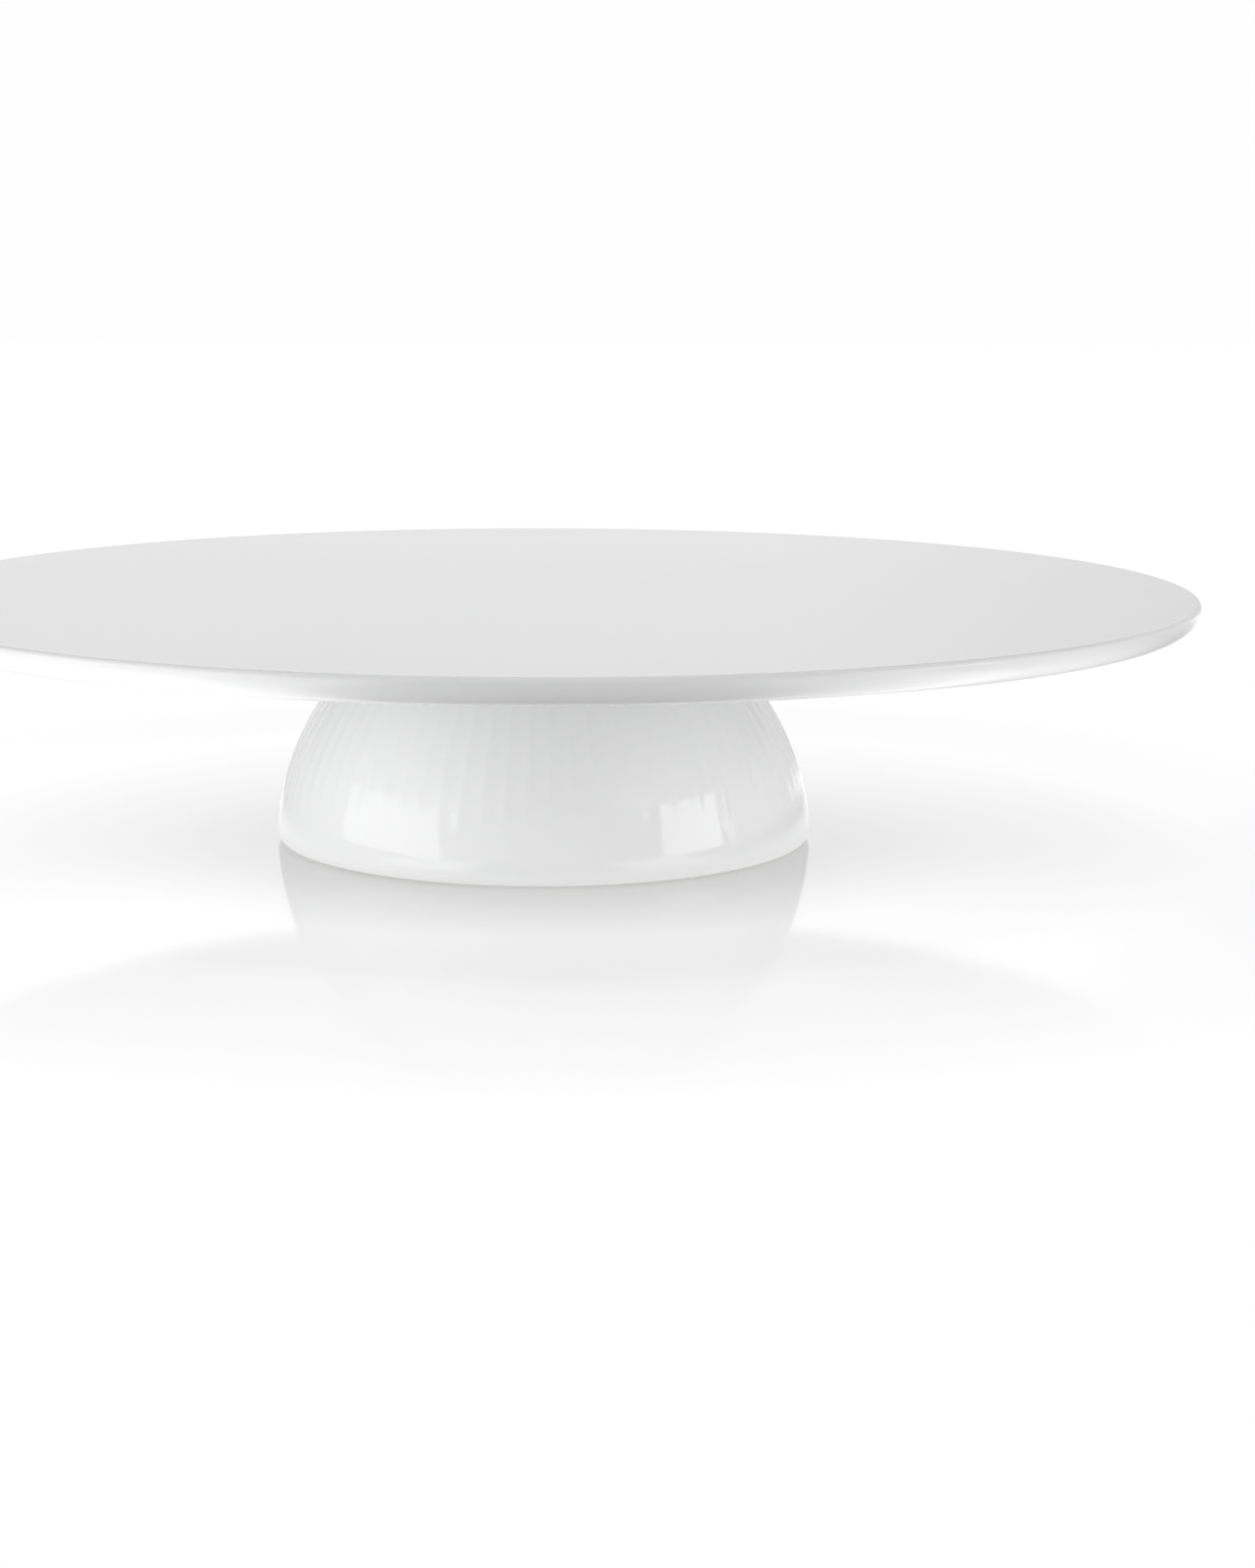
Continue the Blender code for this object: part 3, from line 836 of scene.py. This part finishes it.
WINDOW = 0.55  # extra radiance of the wall behind, from just above where the plate's top mirrors it
WINDOW_FOOT = (0.150, 0.162)  # heights on the unit sphere over which it starts; it ends with the low wall
WINDOW_SIDES = (0.935, 0.96)  # how far a direction must point backwards to see it
RAMP_TOP = 4.0  # a colour ramp holds shares of this radiance

FLOOR_HALF = 4.0  # metres from the axis to the table's edge
FLOOR_PALE = 0.46
FLOOR_ROUGHNESS = 0.075
FLOOR_IOR = 1.45
FLOOR_FADE = (0.15, 0.24)  # distances from the axis over which the table turns plain white
GLOW_RADIUS = 0.32  # metres; beyond it the table's own light stays the same
# Painted shade: the table's own light by distance from the axis in metres, dimmest where the foot and plate
# shade it
SIDE_GLOW_AND_SHADE = (
    (0.066, 0.30), (0.073, 0.30), (0.080, 0.32), (0.096, 0.38), (0.118, 0.44), (0.138, 0.50), (0.170, 0.61),
    (0.32, 0.63),
)
FRONT_GLOW_AND_SHADE = (
    (0.066, 0.37), (0.073, 0.37), (0.080, 0.41), (0.089, 0.48), (0.114, 0.64), (0.146, 0.63), (0.160, 0.66),
    (0.187, 0.66), (0.224, 0.64), (0.32, 0.61),
)


def computed(tree, operation, first, second):
    """Result of a Math node on two values, each a number or an output."""
    made = add(tree, "ShaderNodeMath", operation=operation)
    for index, value in enumerate((first, second)):
        if isinstance(value, (int, float)):
            made.inputs[index].default_value = value
        else:
            tree.links.new(value, made.inputs[index])
    return made.outputs[0]


def ramped(tree, share, stops):
    """Level looked up in (place, level) stops by a share from 0 to 1."""
    ramp = add(tree, "ShaderNodeValToRGB")
    elements = ramp.color_ramp.elements
    while len(elements) < len(stops):
        elements.new(0.5)
    for element, (place, level) in zip(elements, stops):
        element.position = place
        shade = level / RAMP_TOP
        element.color = (shade, shade, shade, 1)
    tree.links.new(share, ramp.inputs["Fac"])
    return computed(tree, "MULTIPLY", ramp.outputs["Color"], RAMP_TOP)


def azimuth_ramp(tree, parts, stops):
    """Radiance by azimuth round the stand's axis, from a node that gives X and Y."""
    turn = computed(tree, "ARCTAN2", parts.outputs["X"], computed(tree, "MULTIPLY", parts.outputs["Y"], -1))
    share = ranged(tree, turn, -math.pi, math.pi, 0, 1)
    return ramped(tree, share, [((degrees + 180) / 360, radiance) for degrees, radiance in stops])


def mixed_value(tree, factor, first, second):
    """Blends two values, each a number or an output."""
    made = add(tree, "ShaderNodeMix", data_type="FLOAT")
    tree.links.new(factor, made.inputs[0])
    for index, value in ((2, first), (3, second)):
        if isinstance(value, (int, float)):
            made.inputs[index].default_value = value
        else:
            tree.links.new(value, made.inputs[index])
    return made.outputs[0]


def mixed_shader(tree, factor, first, second):
    """Blends two shader nodes."""
    made = add(tree, "ShaderNodeMixShader")
    tree.links.new(factor, made.inputs[0])
    tree.links.new(first.outputs[0], made.inputs[1])
    tree.links.new(second.outputs[0], made.inputs[2])
    return made


def make_floor():
    """A plain white glossy table with a light of its own, that turns plain white further out. Near the foot
    and under the plate that light is dimmed as painted shade.

    The camera sees that. What the table throws back at the stand is set apart from it and varies round
    the axis as in a studio: dim towards the camera. Seen from below the table is clear.
    """
    mesh = bmesh.new()
    bmesh.ops.create_grid(mesh, x_segments=2, y_segments=2, size=FLOOR_HALF)
    data = bpy.data.meshes.new("floor")
    mesh.to_mesh(data)
    mesh.free()
    floor = bpy.data.objects.new("floor", data)
    bpy.context.scene.collection.objects.link(floor)
    material = bpy.data.materials.new("white_table")
    material.use_nodes = True
    tree = material.node_tree
    tree.nodes.clear()
    place = object_place(tree)
    distance, _ = axis_distance(tree, place)

    pale = add(tree, "ShaderNodeBsdfDiffuse", Color=(FLOOR_PALE, FLOOR_PALE, FLOOR_PALE, 1))
    glow_and_shade = add(tree, "ShaderNodeEmission")
    outwards = ranged(tree, distance, 0, GLOW_RADIUS, 0, 1)
    profiles = []
    for stops in (SIDE_GLOW_AND_SHADE, FRONT_GLOW_AND_SHADE):
        profiles.append(ramped(tree, outwards, [(radius / GLOW_RADIUS, level) for radius, level in stops]))
    parts = add(tree, "ShaderNodeSeparateXYZ")
    tree.links.new(place, parts.inputs["Vector"])
    forwards = computed(tree, "MINIMUM", computed(tree, "DIVIDE", parts.outputs["Y"], distance), 0)
    front = computed(tree, "MULTIPLY", forwards, forwards)
    # painted shade: the table's own light dims near the foot and under the plate
    tree.links.new(mixed_value(tree, front, *profiles), glow_and_shade.inputs["Strength"])
    body = add(tree, "ShaderNodeAddShader")
    tree.links.new(pale.outputs[0], body.inputs[0])
    tree.links.new(glow_and_shade.outputs[0], body.inputs[1])
    gloss = add(tree, "ShaderNodeBsdfGlossy", Roughness=FLOOR_ROUGHNESS)
    fresnel = add(tree, "ShaderNodeFresnel", IOR=FLOOR_IOR)
    near = mixed_shader(tree, fresnel.outputs[0], body, gloss)
    white = add(tree, "ShaderNodeEmission", Strength=1.0)
    shown = mixed_shader(tree, ranged(tree, distance, *FLOOR_FADE, 0, 1), near, white)

    around = azimuth_ramp(tree, parts, FLOOR_BOUNCE)
    beneath = azimuth_ramp(tree, parts, UNDER_BOUNCE)
    level = mixed_value(tree, ranged(tree, distance, *UNDER_EDGE, 0, 1), beneath, around)
    shadow = ranged(tree, distance, *CONTACT_EDGE, CONTACT_LEVEL, 1)
    bounce = add(tree, "ShaderNodeEmission")
    tree.links.new(computed(tree, "MULTIPLY", level, shadow), bounce.inputs["Strength"])
    seen = add(tree, "ShaderNodeLightPath")
    topside = mixed_shader(tree, seen.outputs["Is Camera Ray"], bounce, shown)

    clear = add(tree, "ShaderNodeBsdfTransparent")
    geometry = add(tree, "ShaderNodeNewGeometry")
    whole = mixed_shader(tree, geometry.outputs["Backfacing"], topside, clear)
    output = add(tree, "ShaderNodeOutputMaterial")
    tree.links.new(whole.outputs[0], output.inputs["Surface"])
    data.materials.append(material)


def make_world():
    """Studio of three bands of wall, a window behind and a ceiling. The camera sees plain white."""
    world = bpy.data.worlds.new("studio")
    bpy.context.scene.world = world
    world.use_nodes = True
    tree = world.node_tree
    tree.nodes.clear()
    direction = add(tree, "ShaderNodeTexCoord").outputs["Generated"]
    parts = add(tree, "ShaderNodeSeparateXYZ")
    tree.links.new(direction, parts.inputs["Vector"])
    behind = ranged(tree, parts.outputs["Y"], *WINDOW_SIDES, 0, 1)
    window = computed(tree, "MULTIPLY", behind, ranged(tree, parts.outputs["Z"], *WINDOW_FOOT, 0, WINDOW))
    low = computed(tree, "ADD", azimuth_ramp(tree, parts, LOW_WALL), window)
    high = azimuth_ramp(tree, parts, HIGH_WALL)
    middle = azimuth_ramp(tree, parts, MID_WALL)
    lower = mixed_value(tree, ranged(tree, parts.outputs["Z"], *PANEL_TOP, 0, 1), low, middle)
    walls = mixed_value(tree, ranged(tree, parts.outputs["Z"], *WALL_EDGE, 0, 1), lower, high)
    level = mixed_value(tree, ranged(tree, parts.outputs["Z"], *CEILING_EDGE, 0, 1), walls, CEILING)
    room = add(tree, "ShaderNodeBackground", Color=(1, 1, 1, 1))
    tree.links.new(level, room.inputs["Strength"])
    white = add(tree, "ShaderNodeBackground", Color=(1, 1, 1, 1), Strength=BACKGROUND)
    seen = add(tree, "ShaderNodeLightPath")
    choice = mixed_shader(tree, seen.outputs["Is Camera Ray"], room, white)
    output = add(tree, "ShaderNodeOutputWorld")
    tree.links.new(choice.outputs[0], output.inputs["Surface"])


def make_camera():
    """Stands in front of the stand, a little above the plate, and looks slightly down."""
    data = bpy.data.cameras.new("camera")
    data.lens = CAMERA_LENS
    data.sensor_width = SENSOR_WIDTH
    camera = bpy.data.objects.new("camera", data)
    place = Matrix.Translation((0, -CAMERA_DISTANCE, CAMERA_HEIGHT))
    aim = Matrix.Rotation(-CAMERA_YAW, 4, "Z") @ Matrix.Rotation(math.pi / 2 - CAMERA_PITCH, 4, "X")
    camera.matrix_world = place @ aim @ Matrix.Rotation(CAMERA_ROLL, 4, "Z")
    bpy.context.scene.collection.objects.link(camera)
    bpy.context.scene.camera = camera


def main():
    make_camera()
    make_world()
    make_floor()
    bare = bisque("bare_porcelain")
    make_plate(glaze("plate_glaze_white"), bare)
    make_foot(glaze("foot_glaze_white"), bare)
    make_base_ring(silicone("ring_silicone_clear", RING_SILICONE))
    make_gasket(silicone("gasket_silicone_clear", GASKET_SILICONE))
    make_soft_washer(silicone("washer_silicone_clear", WASHER_SILICONE))
    washer_steel = turned_metal("washer_steel_turned", WASHER_STEEL, roughness=0.28, mark_spacing=0.5 * MM)
    stud_steel = turned_metal("stud_steel_rolled", STUD_STEEL, roughness=0.30, mark_spacing=0.8 * MM)
    brass = turned_metal("insert_brass_turned", INSERT_BRASS, roughness=0.34, mark_spacing=0.6 * MM)
    knob_steel = turned_metal("knob_steel_turned", KNOB_STEEL, roughness=0.26, mark_spacing=0.35 * MM)
    make_steel_washer(washer_steel)
    make_stud(stud_steel)
    make_insert(brass)
    make_knob(knob_steel)
    bpy.context.scene.view_settings.view_transform = "Standard"


main()
